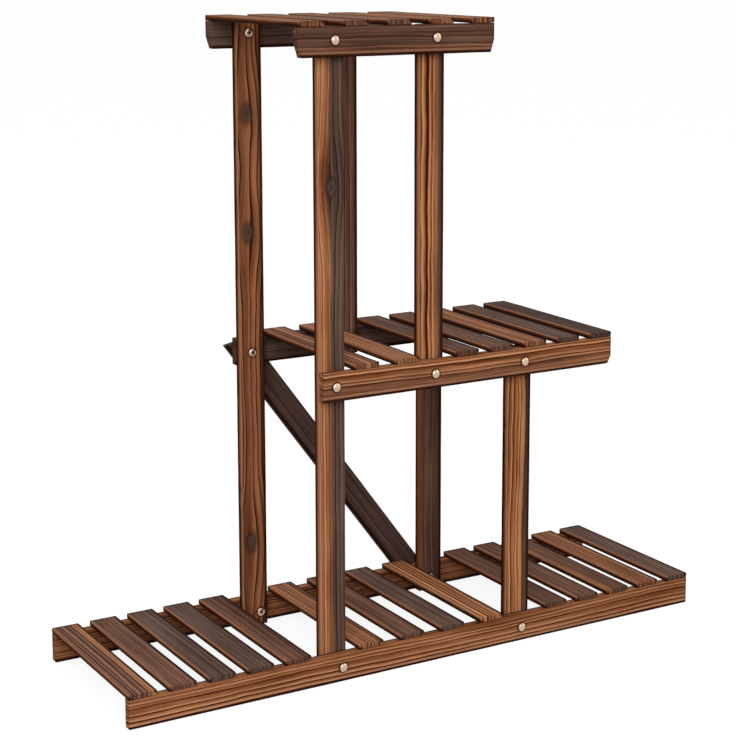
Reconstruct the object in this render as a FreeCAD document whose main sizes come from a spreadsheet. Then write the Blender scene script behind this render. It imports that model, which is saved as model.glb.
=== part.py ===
"""Three-tier slatted plant stand of bolted wooden boards.

Frame: +X runs along the stand from left to right, +Y to the back, +Z up. The origin is on the
floor, in the middle of the stand's length and depth. Lengths are in millimetres.
"""

import FreeCAD, Part
import os
import re

import Sketcher

SIZES = {
    # Boards
    "stand_length": 830.0,
    "slat_length": 250.0,
    "slat_width": 36.0,
    "slat_thickness": 7.0,
    "rail_height": 36.0,
    "rail_thickness": 12.0,
    "post_width": 36.0,
    "post_thickness": 12.0,
    "arris_radius": 1.0,
    # Heights of the upper shelves, over the slats
    "middle_shelf_height": 399.0,
    "top_shelf_height": 812.0,
    # Gaps along the bottom shelf
    "bottom_slat_gap": 24.0,
    "inner_post_gap": 11.7,
    "outer_post_gap": 18.8,
    "least_outer_gap": 12.0,
    # Gaps along the middle shelf
    "middle_post_gap": 5.7,
    "middle_left_gap": 21.3,
    "middle_right_post_gap": 10.5,
    "middle_right_gap": 16.0,
    # Top shelf
    "top_overhang": 31.3,
    "top_slat_gap": 23.3,
    # Tapered lower corners at the rails' ends
    "taper_width": 5.0,
    "middle_taper_height": 10.5,
    "top_taper_height": 16.0,
    # Sloping brace behind the back rails
    "brace_width": 35.0,
    "brace_thickness": 12.0,
    "brace_foot_inset": 9.4,
    "brace_end_margin": 13.0,
    "brace_end_skew": 16.5,
    # Places of the bolts
    "rail_bolt_height": 18.0,
    "top_bolt_height": 20.0,
    "foot_bolt_shift": 7.7,
    # Domed sleeve nuts
    "dome_diameter": 12.0,
    "dome_height": 3.2,
    "dome_rim": 0.8,
    "sleeve_diameter": 8.0,
    "sleeve_length": 16.0,
    "sleeve_floor": 1.5,
    "bolt_hole_clearance": 0.4,
    # Cross-recess screws
    "screw_head_diameter": 12.0,
    "screw_head_height": 2.8,
    "screw_rim": 0.8,
    "screw_diameter": 6.0,
    "screw_clearance": 0.2,
    "screw_end_gap": 4.0,
    "recess_span": 6.4,
    "recess_width": 1.6,
    "recess_depth": 1.6,
    # Brads that hold the slats
    "brad_length": 16.0,
    "brad_diameter": 1.4,
    "brad_head_diameter": 2.4,
    "brad_head_height": 0.8,
    "brad_spread": 18.0,
    "brad_clearance": 0.1,
}

BOTTOM_MIDDLE_COUNT = 4
MIDDLE_LEFT_COUNT = 2
MIDDLE_RIGHT_COUNT = 5
TOP_COUNT = 5
QUARTER_TURN = 90
RECESS_TURN = 45

doc = FreeCAD.newDocument("PlantStand")
sheet = doc.addObject("Spreadsheet::Sheet", "Sizes")
pieces = []


def fill_sheet():
    """Write each driving size into the sheet, with its name as the cell's alias."""
    for row, (name, value) in enumerate(SIZES.items(), start=1):
        sheet.set(f"A{row}", name)
        sheet.set(f"B{row}", str(value))
        sheet.setAlias(f"B{row}", name)
    doc.recompute()


def bound(formula):
    """Return a formula with the sheet's name before each size, as an expression needs it."""
    return re.sub(r"[a-z]\w*\b(?!\()", r"Sizes.\g<0>", formula)


def worth(formula):
    """Return the present value of a formula."""
    return FreeCAD.Units.Quantity(sheet.evalExpression(bound(formula))).Value


fill_sheet()

# Formulas of places, written in the names of the sizes.
HALF_LENGTH = "(stand_length / 2)"
HALF_MIDDLE_GROUP = (
    f"(({BOTTOM_MIDDLE_COUNT} * slat_width + {BOTTOM_MIDDLE_COUNT - 1} * bottom_slat_gap) / 2)"
)
POST_INNER_SIDE = f"({HALF_MIDDLE_GROUP} + inner_post_gap)"
POST_CENTRE = f"({POST_INNER_SIDE} + post_width / 2)"
POST_OUTER_SIDE = f"({POST_INNER_SIDE} + post_width)"
OUTER_GROUP_START = f"({POST_OUTER_SIDE} + outer_post_gap)"
OUTER_ROOM = f"({HALF_LENGTH} - {OUTER_GROUP_START})"
BOTTOM_OUTER_COUNT = int(worth(f"({OUTER_ROOM} + least_outer_gap) / (slat_width + least_outer_gap)"))
OUTER_SLAT_STEP = f"(({OUTER_ROOM} - slat_width) / {BOTTOM_OUTER_COUNT - 1})"
MIDDLE_GROUP_STEP = "(slat_width + bottom_slat_gap)"
MIDDLE_LEFT_START = f"(middle_post_gap - {POST_INNER_SIDE})"
MIDDLE_LEFT_STEP = "(slat_width + middle_left_gap)"
UPPER_POST_SIDE = (
    f"({MIDDLE_LEFT_START} + {MIDDLE_LEFT_COUNT - 1} * {MIDDLE_LEFT_STEP} + slat_width + middle_post_gap)"
)
UPPER_POST_CENTRE = f"({UPPER_POST_SIDE} + post_width / 2)"
MIDDLE_RIGHT_START = f"({UPPER_POST_SIDE} + post_width + middle_right_post_gap)"
MIDDLE_RIGHT_STEP = "(slat_width + middle_right_gap)"
MIDDLE_RAIL_END = f"({MIDDLE_RIGHT_START} + {MIDDLE_RIGHT_COUNT - 1} * {MIDDLE_RIGHT_STEP} + slat_width)"
TOP_RAIL_START = f"(-{POST_OUTER_SIDE} - top_overhang)"
TOP_SLAT_STEP = "(slat_width + top_slat_gap)"
TOP_RAIL_LENGTH = f"({TOP_COUNT - 1} * {TOP_SLAT_STEP} + slat_width)"
BOTTOM_RAIL_Z = "0"
MIDDLE_RAIL_Z = "(middle_shelf_height - slat_thickness - rail_height)"
TOP_RAIL_Z = "(top_shelf_height - slat_thickness - rail_height)"
FRONT_FACE = "(-(slat_length + brace_thickness) / 2)"
BACK_FACE = f"({FRONT_FACE} + slat_length)"
FRONT_POST_FACE = f"({FRONT_FACE} + rail_thickness)"
BACK_POST_FACE = f"({BACK_FACE} - rail_thickness - post_thickness)"
FOOT_BOLT_X = f"(foot_bolt_shift - {POST_CENTRE})"
BOLT_HOLE = "(sleeve_diameter + bolt_hole_clearance)"
BRACE_RUN = f"(2 * {POST_CENTRE} - brace_foot_inset)"
BRACE_RISE = f"({MIDDLE_RAIL_Z} - {BOTTOM_RAIL_Z})"
BRACE_SPAN = f"sqrt({BRACE_RUN} * {BRACE_RUN} + {BRACE_RISE} * {BRACE_RISE})"
BRACE_SLOPE = f"atan({BRACE_RISE} / {BRACE_RUN})"


def place(piece, x, y, z):
    """Bind a piece's place to three formulas."""
    for axis, formula in zip("xyz", (x, y, z)):
        piece.setExpression(f"Placement.Base.{axis}", bound(formula))


def add_body(label):
    """Start a body that becomes a sub-part of its own."""
    body = doc.addObject("PartDesign::Body", label)
    body.Label = label
    return body


def add_sketch(body, role, height="0"):
    """Add a sketch on one of the body's own origin planes, raised by a formula."""
    sketch = body.newObject("Sketcher::SketchObject", "Sketch")
    plane = next(feature for feature in body.Origin.OriginFeatures if feature.Role == role)
    sketch.AttachmentSupport = [(plane, "")]
    sketch.MapMode = "FlatFace"
    sketch.setExpression("AttachmentOffset.Base.z", bound(height))
    return sketch


def bind_constraint(sketch, kind, formula, *where):
    """Add a dimension to a sketch and bind it to a formula."""
    index = sketch.addConstraint(Sketcher.Constraint(kind, *where, worth(formula)))
    sketch.setExpression(f"Constraints[{index}]", bound(formula))


def bind_point(sketch, geometry, vertex, point):
    """Bind a point of a sketch to a pair of formulas, measured from the sketch's origin."""
    for kind, formula in zip(("DistanceX", "DistanceY"), point):
        bind_constraint(sketch, kind, formula, -1, 1, geometry, vertex)


def draw_outline(sketch, points):
    """Draw a closed outline of straight lines through points given as pairs of formulas."""
    corners = [FreeCAD.Vector(worth(x), worth(y), 0) for x, y in points]
    for start, end in zip(corners, corners[1:] + corners[:1]):
        sketch.addGeometry(Part.LineSegment(start, end), False)
    for index in range(len(points)):
        following = (index + 1) % len(points)
        sketch.addConstraint(Sketcher.Constraint("Coincident", index, 2, following, 1))
    for index, point in enumerate(points):
        bind_point(sketch, index, 1, point)


def draw_circles(sketch, centres, diameter):
    """Draw circles of one diameter about centres given as pairs of formulas."""
    for x, y in centres:
        middle = FreeCAD.Vector(worth(x), worth(y), 0)
        upward = FreeCAD.Vector(0, 0, 1)
        circle = sketch.addGeometry(Part.Circle(middle, upward, worth(diameter) / 2), False)
        bind_point(sketch, circle, 3, (x, y))
        bind_constraint(sketch, "Diameter", diameter, circle)


def cut(body, sketch, depth=None):
    """Cut a sketch into the body, to a depth or right through it, and check that it cuts."""
    before = body.Shape.Volume
    pocket = body.newObject("PartDesign::Pocket", "Pocket")
    pocket.Profile = sketch
    if depth is None:
        pocket.Type = "ThroughAll"
    else:
        pocket.setExpression("Length", bound(depth))
    doc.recompute()
    if body.Shape.Volume >= before:
        raise RuntimeError(f"{body.Label}: a pocket removed nothing")


def add_board(label, role, outline, thickness):
    """Add a flat board: an outline padded to its thickness, with every arris eased."""
    body = add_body(label)
    sketch = add_sketch(body, role)
    draw_outline(sketch, outline)
    pad = body.newObject("PartDesign::Pad", "Pad")
    pad.Profile = sketch
    pad.Reversed = role == "XZ_Plane"
    pad.setExpression("Length", bound(thickness))
    doc.recompute()
    eased = body.newObject("PartDesign::Fillet", "Fillet")
    eased.Base = (pad, [])
    eased.UseAllEdges = True
    eased.setExpression("Radius", bound("arris_radius"))
    doc.recompute()
    pieces.append(body)
    return body


def rectangle(width, height):
    """Return the corners of a rectangle that starts at the sketch's origin."""
    return [("0", "0"), (width, "0"), (width, height), ("0", height)]


def bore(body, centres):
    """Bore bolt holes through an upright board."""
    sketch = add_sketch(body, "XZ_Plane")
    draw_circles(sketch, centres, BOLT_HOLE)
    cut(body, sketch)


def slat_starts():
    """Return each shelf's left slat edges, as formulas, from left to right."""
    left_outer = [f"-{HALF_LENGTH} + {n} * {OUTER_SLAT_STEP}" for n in range(BOTTOM_OUTER_COUNT)]
    middle = [f"-{HALF_MIDDLE_GROUP} + {n} * {MIDDLE_GROUP_STEP}" for n in range(BOTTOM_MIDDLE_COUNT)]
    right_outer = [f"{OUTER_GROUP_START} + {n} * {OUTER_SLAT_STEP}" for n in range(BOTTOM_OUTER_COUNT)]
    left_pair = [f"{MIDDLE_LEFT_START} + {n} * {MIDDLE_LEFT_STEP}" for n in range(MIDDLE_LEFT_COUNT)]
    right_row = [f"{MIDDLE_RIGHT_START} + {n} * {MIDDLE_RIGHT_STEP}" for n in range(MIDDLE_RIGHT_COUNT)]
    top_row = [f"{TOP_RAIL_START} + {n} * {TOP_SLAT_STEP}" for n in range(TOP_COUNT)]
    return {
        "bottom": left_outer + middle + right_outer,
        "middle": left_pair + right_row,
        "top": top_row,
    }


SHELF_SLATS = slat_starts()
RAIL_STARTS = {"bottom": f"-{HALF_LENGTH}", "middle": f"-{POST_OUTER_SIDE}", "top": TOP_RAIL_START}
RAIL_BASES = {"bottom": BOTTOM_RAIL_Z, "middle": MIDDLE_RAIL_Z, "top": TOP_RAIL_Z}
SIDES = {"front": FRONT_FACE, "back": f"{BACK_FACE} - rail_thickness"}

# Each post's left side, centre, foot and top.
POSTS = {
    "left": (f"-{POST_OUTER_SIDE}", f"-{POST_CENTRE}", BOTTOM_RAIL_Z, f"{TOP_RAIL_Z} + rail_height"),
    "upper": (UPPER_POST_SIDE, UPPER_POST_CENTRE, MIDDLE_RAIL_Z, f"{TOP_RAIL_Z} + rail_height"),
    "lower": (POST_INNER_SIDE, POST_CENTRE, BOTTOM_RAIL_Z, f"{MIDDLE_RAIL_Z} + rail_height"),
}

# Each bolt's shelf, post and place in the stand's frame.
BOLTS = [
    ("bottom", "left", FOOT_BOLT_X, "rail_bolt_height"),
    ("bottom", "lower", POST_CENTRE, "rail_bolt_height"),
    ("middle", "left", f"-{POST_CENTRE}", f"{MIDDLE_RAIL_Z} + rail_bolt_height"),
    ("middle", "upper", UPPER_POST_CENTRE, f"{MIDDLE_RAIL_Z} + rail_bolt_height"),
    ("middle", "lower", POST_CENTRE, f"{MIDDLE_RAIL_Z} + rail_bolt_height"),
    ("top", "left", f"-{POST_CENTRE}", f"{TOP_RAIL_Z} + top_bolt_height"),
    ("top", "upper", UPPER_POST_CENTRE, f"{TOP_RAIL_Z} + top_bolt_height"),
]
BRACE_JOINTS = [("bottom", "lower"), ("middle", "left")]


def rail_outline(shelf):
    """Return a rail's outline from its left lower corner, with the shelf's tapered corners."""
    if shelf == "bottom":
        return rectangle("stand_length", "rail_height")
    if shelf == "middle":
        length = f"({MIDDLE_RAIL_END} + {POST_OUTER_SIDE})"
        taper = "middle_taper_height"
        left_end = [("0", "0")]
    else:
        length = TOP_RAIL_LENGTH
        taper = "top_taper_height"
        left_end = [("0", taper), ("taper_width", "0")]
    right_end = [(f"{length} - taper_width", "0"), (length, taper)]
    return left_end + right_end + [(length, "rail_height"), ("0", "rail_height")]


def add_rail(shelf, side):
    """Add one rail, bored for the bolts and drilled from above for the brads."""
    rail = add_board(f"{shelf}_{side}_rail", "XZ_Plane", rail_outline(shelf), "rail_thickness")
    start = RAIL_STARTS[shelf]
    base = RAIL_BASES[shelf]
    bore(rail, [(f"{x} - ({start})", f"{z} - {base}") for tier, _, x, z in BOLTS if tier == shelf])
    pilots = [
        (f"{slat} - ({start}) + (slat_width + {turn} * brad_spread) / 2", "rail_thickness / 2")
        for slat in SHELF_SLATS[shelf]
        for turn in (-1, 1)
    ]
    sketch = add_sketch(rail, "XY_Plane", "rail_height")
    draw_circles(sketch, pilots, "brad_diameter + brad_clearance")
    cut(rail, sketch, "brad_length - slat_thickness + brad_clearance")
    place(rail, start, SIDES[side], base)


def add_post(name, side):
    """Add one upright post, which stands against the inner face of its rails."""
    left_side, _, foot, top = POSTS[name]
    outline = rectangle("post_width", f"{top} - {foot}")
    post = add_board(f"{name}_{side}_post", "XZ_Plane", outline, "post_thickness")
    bore(post, [(f"{x} - ({left_side})", f"{z} - {foot}") for _, own, x, z in BOLTS if own == name])
    place(post, left_side, FRONT_POST_FACE if side == "front" else BACK_POST_FACE, foot)


def add_brace():
    """Add the sloping brace, drawn along X from its upper bolt and then turned down to its foot."""
    upper, lower = "brace_width / 2", "-brace_width / 2"
    skew = "brace_end_skew / 2"
    foot = f"{BRACE_SPAN} + brace_end_margin"
    outline = [
        (f"-brace_end_margin - {skew}", lower),
        (f"{foot} - {skew}", lower),
        (f"{foot} + {skew}", upper),
        (f"-brace_end_margin + {skew}", upper),
    ]
    brace = add_board("back_brace", "XZ_Plane", outline, "brace_thickness")
    foot_bolt_along = f"{BRACE_SPAN} + brace_foot_inset * cos({BRACE_SLOPE})"
    foot_bolt_across = f"brace_foot_inset * sin({BRACE_SLOPE})"
    bore(brace, [("0", "0"), (foot_bolt_along, foot_bolt_across)])
    place(brace, f"-{POST_CENTRE}", BACK_FACE, f"{MIDDLE_RAIL_Z} + rail_bolt_height")
    brace.Placement.Rotation = FreeCAD.Rotation(FreeCAD.Vector(0, 1, 0), 0)
    brace.setExpression("Placement.Rotation.Angle", bound(BRACE_SLOPE))


def add_slat(shelf, number, start):
    """Add one slat across the two rails of a shelf, with sunk holes for its four brads."""
    outline = rectangle("slat_width", "slat_length")
    slat = add_board(f"{shelf}_slat_{number:02d}", "XY_Plane", outline, "slat_thickness")
    sketch = add_sketch(slat, "XY_Plane", "slat_thickness")
    shank = "brad_diameter + brad_clearance"
    head = "brad_head_diameter + brad_clearance"
    marks = [
        (f"(slat_width + {turn} * brad_spread) / 2", across)
        for turn in (-1, 1)
        for across in ("rail_thickness / 2", "slat_length - rail_thickness / 2")
    ]
    draw_circles(sketch, marks, shank)
    doc.recompute()
    before = slat.Shape.Volume
    hole = slat.newObject("PartDesign::Hole", "Hole")
    hole.Profile = sketch
    doc.recompute()
    hole.DepthType = "ThroughAll"
    hole.setExpression("Diameter", bound(shank))
    hole.HoleCutType = "Counterbore"
    hole.setExpression("HoleCutDiameter", bound(head))
    hole.setExpression("HoleCutDepth", bound("brad_head_height"))
    doc.recompute()
    if slat.Shape.Volume >= before:
        raise RuntimeError(f"{slat.Label}: the brad holes removed nothing")
    place(slat, start, FRONT_FACE, f"{RAIL_BASES[shelf]} + rail_height")


def revolve(body, sketch):
    """Turn a half outline about the sketch's upright axis into a round piece."""
    turned = body.newObject("PartDesign::Revolution", "Revolution")
    turned.Profile = sketch
    turned.ReferenceAxis = (sketch, ["V_Axis"])
    doc.recompute()


def turn_domed(label, head, shank):
    """Turn a domed fastener about Z: its seat is at Z 0, its head above and its shank below.

    head is its diameter, height and rim; shank is its diameter and length, all as formulas.
    """
    diameter, height, rim = head
    thickness, length = shank
    body = add_body(label)
    sketch = add_sketch(body, "XZ_Plane")
    crown = ("0", height)
    corners = [
        (f"({diameter}) / 2", rim),
        (f"({diameter}) / 2", "0"),
        (f"({thickness}) / 2", "0"),
        (f"({thickness}) / 2", f"-({length})"),
        ("0", f"-({length})"),
    ]
    draw_outline(sketch, [crown] + corners)
    bow_dome(sketch, diameter, height, rim)
    revolve(body, sketch)
    return body


def bow_dome(sketch, diameter, height, rim):
    """Replace an outline's first line, from crown to rim, by an arc centred on the axis."""
    radius, rise = worth(diameter) / 2, worth(height) - worth(rim)
    ball = (radius * radius + rise * rise) / (2 * rise)
    middle = FreeCAD.Vector(0, worth(height) - ball, 0)
    crown = FreeCAD.Vector(0, worth(height), 0)
    edge = FreeCAD.Vector(radius, worth(rim), 0)
    shoulder = (crown + edge) / 2 - middle
    halfway = middle + shoulder.normalize() * ball
    sketch.toggleConstruction(0)
    arc = sketch.addGeometry(Part.Arc(crown, halfway, edge), False)
    sketch.addConstraint(Sketcher.Constraint("PointOnObject", arc, 3, -2))
    sketch.addConstraint(Sketcher.Constraint("Coincident", arc, 2, 0, 1))
    sketch.addConstraint(Sketcher.Constraint("Coincident", arc, 1, 0, 2))


def make_nut():
    """Make the pattern of a domed sleeve nut, with its blind bore open below."""
    nut = turn_domed(
        "nut_pattern",
        ("dome_diameter", "dome_height", "dome_rim"),
        ("sleeve_diameter", "sleeve_length"),
    )
    sketch = add_sketch(nut, "XY_Plane", "-sleeve_floor")
    draw_circles(sketch, [("0", "0")], "screw_diameter + screw_clearance")
    cut(nut, sketch)
    return nut


def make_screw(label, grip):
    """Make the pattern of a cross-recess screw for boards of the given thickness in all."""
    screw = turn_domed(
        label,
        ("screw_head_diameter", "screw_head_height", "screw_rim"),
        ("screw_diameter", f"{grip} - screw_end_gap"),
    )
    arm, half = "recess_span / 2", "recess_width / 2"
    quarter = [(half, half), (half, arm), (f"-{half}", arm)]
    cross = []
    for _ in range(4):
        cross += quarter
        quarter = [(f"-({y})", x) for x, y in quarter]
    sketch = add_sketch(screw, "XY_Plane", "screw_head_height")
    draw_outline(sketch, cross)
    cut(screw, sketch, "recess_depth")
    return screw


def make_brad():
    """Make the pattern of a brad, its head on Z 0 and its shank below."""
    brad = add_body("brad_pattern")
    sketch = add_sketch(brad, "XZ_Plane")
    head, shank = "brad_head_diameter / 2", "brad_diameter / 2"
    outline = [("0", "0"), (head, "0"), (head, "-brad_head_height"), (shank, "-brad_head_height")]
    outline += [(shank, "-brad_length"), ("0", "-brad_length")]
    draw_outline(sketch, outline)
    revolve(brad, sketch)
    return brad


def add_group(label, pattern, placements):
    """Add copies of one fastener as a single sub-part of separate solids."""
    group = doc.addObject("Part::Feature", label)
    group.Label = label
    copies = [pattern.Shape.transformed(placement.toMatrix(), True) for placement in placements]
    group.Shape = Part.makeCompound(copies)
    pieces.append(group)


def facing(x, y, z, forward, spin=0):
    """Return the placement of a fastener whose head faces the front or the back of the stand."""
    turn = FreeCAD.Rotation(FreeCAD.Vector(1, 0, 0), QUARTER_TURN if forward else -QUARTER_TURN)
    own_turn = FreeCAD.Rotation(FreeCAD.Vector(0, 0, 1), spin)
    return FreeCAD.Placement(FreeCAD.Vector(worth(x), worth(y), worth(z)), turn * own_turn)


def add_bolts():
    """Add the nuts on the outer faces and the screws on the inner faces of the bolted joints."""
    nut = make_nut()
    grip = "rail_thickness + post_thickness"
    short = make_screw("screw_pattern", grip)
    long = make_screw("long_screw_pattern", f"{grip} + brace_thickness")
    front = [(x, z) for _, _, x, z in BOLTS]
    braced = [(x, z) for shelf, post, x, z in BOLTS if (shelf, post) in BRACE_JOINTS]
    plain = [(x, z) for shelf, post, x, z in BOLTS if (shelf, post) not in BRACE_JOINTS]
    front_seat, back_seat = f"{FRONT_POST_FACE} + post_thickness", BACK_POST_FACE
    behind_brace = f"{BACK_FACE} + brace_thickness"
    add_group("front_dome_nuts", nut, [facing(x, FRONT_FACE, z, True) for x, z in front])
    add_group("back_dome_nuts", nut, [facing(x, BACK_FACE, z, False) for x, z in plain])
    add_group("brace_dome_nuts", nut, [facing(x, behind_brace, z, False) for x, z in braced])
    add_group("front_screws", short, [facing(x, front_seat, z, False, RECESS_TURN) for x, z in front])
    add_group("back_screws", short, [facing(x, back_seat, z, True, RECESS_TURN) for x, z in plain])
    add_group("brace_screws", long, [facing(x, back_seat, z, True, RECESS_TURN) for x, z in braced])


def add_brads():
    """Add each shelf's brads, sunk flush with the top of its slats."""
    brad = make_brad()
    for shelf, starts in SHELF_SLATS.items():
        top = f"{RAIL_BASES[shelf]} + rail_height + slat_thickness"
        placements = []
        for start in starts:
            for turn in (-1, 1):
                for face in SIDES.values():
                    x = f"{start} + (slat_width + {turn} * brad_spread) / 2"
                    spot = FreeCAD.Vector(worth(x), worth(f"{face} + rail_thickness / 2"), worth(top))
                    placements.append(FreeCAD.Placement(spot, FreeCAD.Rotation()))
        add_group(f"{shelf}_brads", brad, placements)


def write_pieces():
    """Check every object of the document, then write one STEP file per sub-part."""
    doc.recompute()
    failed = [item.Label for item in doc.Objects if {"Invalid", "Error"} & set(item.State)]
    if failed:
        raise RuntimeError(f"failed objects: {failed}")
    for piece in pieces:
        if piece.Shape.isNull() or not piece.Shape.isValid():
            raise RuntimeError(f"{piece.Label}: its shape isn't valid")
    os.makedirs("parts", exist_ok=True)
    for piece in pieces:
        piece.Shape.exportStep(f"parts/{piece.Label}.step")
        print(piece.Label, len(piece.Shape.Solids), round(piece.Shape.Volume))


def main():
    """Build the stand from the floor up and write its sub-parts."""
    for shelf, starts in SHELF_SLATS.items():
        for side in SIDES:
            add_rail(shelf, side)
        for number, start in enumerate(starts, start=1):
            add_slat(shelf, number, start)
    for name in POSTS:
        for side in SIDES:
            add_post(name, side)
    add_brace()
    add_bolts()
    add_brads()
    write_pieces()


main()
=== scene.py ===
"""Looks of the three-tier slatted plant stand: planed, stained fir boards with bolted joints.

Every length is in metres, in the stand's own frame: +X to the right along the stand, +Y to the
back and +Z up, with the origin on the floor in the middle of its length and depth.
"""

import logging
import math
from dataclasses import dataclass, field
from enum import Enum

import bmesh
import bpy
from mathutils import Matrix, Vector, noise


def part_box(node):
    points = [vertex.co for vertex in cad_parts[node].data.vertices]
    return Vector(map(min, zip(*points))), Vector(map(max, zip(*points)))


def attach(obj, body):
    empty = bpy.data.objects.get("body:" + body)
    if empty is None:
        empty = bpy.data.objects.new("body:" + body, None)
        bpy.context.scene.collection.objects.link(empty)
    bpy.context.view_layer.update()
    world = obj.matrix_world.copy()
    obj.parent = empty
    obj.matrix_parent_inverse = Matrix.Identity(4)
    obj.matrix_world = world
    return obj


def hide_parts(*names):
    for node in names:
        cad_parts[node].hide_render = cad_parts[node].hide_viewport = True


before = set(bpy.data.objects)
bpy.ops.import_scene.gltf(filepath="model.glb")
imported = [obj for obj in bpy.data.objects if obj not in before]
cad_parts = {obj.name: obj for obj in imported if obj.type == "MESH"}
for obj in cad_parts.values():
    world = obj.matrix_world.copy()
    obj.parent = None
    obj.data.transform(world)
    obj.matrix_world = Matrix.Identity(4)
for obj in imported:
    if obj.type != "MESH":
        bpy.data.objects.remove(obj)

log = logging.getLogger("plant_stand")

Colour = tuple[int, int, int]
Socket = bpy.types.NodeSocket
Value = float | Socket
Stops = tuple[tuple[float, float | Colour], ...]

MM = 0.001
BODY = "root"
SHARP_ANGLE = math.radians(5)
MERGE_DISTANCE = 1e-6

# Patches of noise per metre, along, across and through a board.
SLOW_WAVES = Vector((3.2, 11, 11))
QUICK_WAVES = Vector((17, 42, 42))
FIBRES = Vector((42, 1100, 300))
STREAKS = Vector((7, 330, 90))
CLOUDS = Vector((7, 40, 40))
KNOT_GRIT = Vector((90, 160, 160))
ARRIS_GRIT = Vector((14, 50, 50))
PLATE_CLOUDS = Vector((420, 420, 420))

# What one step of a seed adds to a board's noise, and where the first one starts.
SEED_STEP = (1.37, 2.71, 0.83)
SEED_START = (0.4, 1.9, 3.3)

# A ring's late and early wood, as places through the ring and levels, and the level of each on average.
LATE_WOOD = (
    (0.0, 0.0), (0.55, 0.05), (0.76, 0.3), (0.88, 0.95), (0.93, 1.0), (0.97, 0.6), (1.0, 0.0)
)
LATE_MEAN = 0.22
EARLY_WOOD = ((0.0, 0.85), (0.08, 1.0), (0.25, 0.5), (0.45, 0.1), (0.97, 0.0), (1.0, 0.85))
EARLY_MEAN = 0.3

# Colours of the stain where it gathers or wears. The rim colour also paints the shade round the bolt heads.
ARRIS_COLOUR = (38, 12, 6)
WIPED_COLOUR = (196, 146, 116)
KNOT_COLOUR = (84, 68, 62)
RIM_AND_SHADE_COLOUR = (50, 34, 28)

# Fades, each as two limits and the levels below and above them. The limits are distances: in from an
# arris, from a board's start, and from the middle of a bolt or a brad.
# The next fade paints the side faces darker as shade.
FLANK_SHADE_FADE = (0.6 * MM, 1.0 * MM, 1.0, 0.0)
# The next fade paints a highlight along the pale arrises, where they catch the light.
HIGHLIGHT_FADE = (0.7 * MM, 1.9 * MM, 0.8, 0.0)
WIPED_FALL = (5.6 * MM, 7.6 * MM, 1.0, 0.0)
START_FADE = (0.2 * MM, 1.4 * MM, 0.2, 0.0)
# The next fade paints a ring of shade round each bolt head.
BOLT_SHADE_FADE = (6.2 * MM, 8.4 * MM, 0.75, 0.0)
BRAD_FADE = (0.9 * MM, 1.4 * MM, 0.6, 0.0)

# The same for a knot, where the limits are of its rings' wave, and of the nearness to its middle.
KNOT_RINGS = (-0.8, 1.0, 0.0, 0.55)
KNOT_RIM = (0.08, 0.5, 0.0, 0.6)
KNOT_CORE = (0.42, 0.78, 0.0, 0.85)

# Limits of the fades whose level a finish sets. The calm part's are shares of a board's width.
WIPED_RISE = (3.2 * MM, 4.6 * MM)
CALM_LIMITS = (-0.12, 0.22)
SHADE_START = 12 * MM
SHADE_END = 2 * MM
END_START = 0.4 * MM
END_LEVEL = 0.85

# How far the dark of an arris fades, in shares of its full width: at least, and what wear adds.
LEAST_REACH = 1.375
WORN_REACH = 0.875

# Roughness of the darkest wood, what lightness and fibres add to it, and the fibres' share of the relief.
ROUGHNESS = 0.7
ROUGH_BY_LIGHT = -0.1
ROUGH_BY_FIBRE = 0.16
FIBRE_RELIEF = 0.5

# What sets each run of chance values for the rings apart from the others.
STRENGTH_RUN = 3.1
BAND_RUN = 5.7
WIDTH_RUN = 7.3


def linear(colour: Colour) -> tuple[float, float, float, float]:
    """Turn an everyday 0 to 255 colour into the linear one that shaders take.

    Args:
        colour: Red, green and blue as a paint chart writes them.

    Returns:
        The same colour as linear red, green, blue and a full alpha.
    """
    parts = [c / 255 for c in colour]
    red, green, blue = (p / 12.92 if p <= 0.04045 else ((p + 0.055) / 1.055) ** 2.4 for p in parts)
    return red, green, blue, 1.0


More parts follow.
